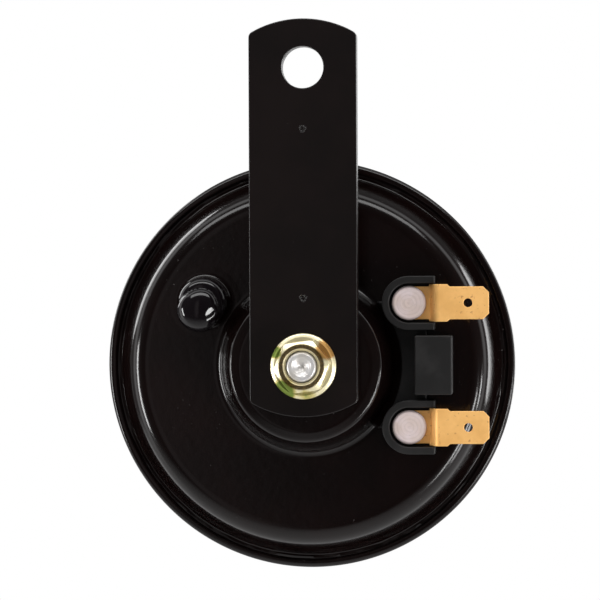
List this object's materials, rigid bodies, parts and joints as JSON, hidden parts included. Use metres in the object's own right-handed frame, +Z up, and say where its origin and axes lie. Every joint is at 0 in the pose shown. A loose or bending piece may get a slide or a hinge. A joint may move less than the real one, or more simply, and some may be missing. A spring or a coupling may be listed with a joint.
{
  "type": "car horn",
  "caption": "Electric disc horn on a flat strap bracket, with a stepped pressed rear housing, crimped rim, blade terminals and a dished tone disc.",
  "frame": {"origin": "centre of the bracket's mounting hole, on the bracket's outer face", "axes": "+Z runs up the bracket, the horn's axis runs along Y with its rear and terminals facing -Y, +X points to the terminals' side"},
  "size_m": [0.08, 0.0377, 0.1063],
  "materials": {
    "black_gloss_paint": "glossy black stoving enamel",
    "black_satin_paint": "satin black, thin over the steel",
    "yellow_zinc": "yellow chromate over zinc",
    "bright_steel": "turned and plated",
    "terminal_brass": "rolled, dull",
    "rivet_metal": "plated, matt",
    "base_plastic": "moulded, matt",
    "sealing_compound": "glossy, cured as it ran",
    "gasket_board": "pressed board",
    "spring_steel": "blued strip",
    "soft_iron": "zinc plated",
    "enamelled_copper": "enamelled copper wire",
    "bobbin_plastic": "moulded, natural",
    "pad_laminate": "phenolic board",
    "contact_silver": "silver",
    "lead_sleeve": "insulated flexible lead"
  },
  "bodies": {
    "root": {"rear_housing": "black_gloss_paint", "front_ring": "black_gloss_paint", "diaphragm": "black_satin_paint", "bracket_leaf_outer": "black_satin_paint", "bracket_leaf_middle": "black_satin_paint", "bracket_leaf_inner": "black_satin_paint", "flange_nut": "yellow_zinc", "core_stud": "bright_steel", "terminal_upper": "terminal_brass", "terminal_lower": "terminal_brass", "rivet_upper": "rivet_metal", "rivet_lower": "rivet_metal", "rivet_washers": "rivet_metal", "breaker_rivets": "rivet_metal", "terminal_base": "base_plastic", "screw_seal": "sealing_compound", "adjusting_screw": "bright_steel", "gasket_rear": "gasket_board", "gasket_front": "gasket_board", "yoke_plate": "soft_iron", "coil_bobbin": "bobbin_plastic", "coil_winding": "enamelled_copper", "coil_lead_upper": "enamelled_copper", "coil_lead_breaker": "enamelled_copper", "arm_lead": "lead_sleeve", "inner_insulator": "pad_laminate", "breaker_pad_rear": "pad_laminate", "breaker_pad_middle": "pad_laminate", "breaker_pad_front": "pad_laminate", "contact_leaf": "spring_steel", "fixed_arm": "spring_steel", "fixed_contact": "contact_silver"},
    "vibrator": {"armature": "bright_steel", "clamp_washer_rear": "soft_iron", "clamp_washer_front": "soft_iron", "spacer_bush": "soft_iron", "tone_disc": "black_gloss_paint", "lock_washer": "soft_iron"},
    "contact": {"moving_contact": "contact_silver"}
  },
  "joints": [
    {"name": "diaphragm_stroke", "type": "slide", "parent": "root", "child": "vibrator", "axis": [0, -1, 0], "range_m": [0, 0.0008], "stiffness_N_per_m": 20000, "deforming": ["diaphragm", "contact_leaf"]},
    {"name": "contact_lift", "type": "slide", "parent": "root", "child": "contact", "axis": [0, -1, 0], "range_m": [0, 0.0008]}
  ],
  "couplings": [
    {"joint": "contact_lift", "follows": "diaphragm_stroke", "ratio": 1}
  ]
}
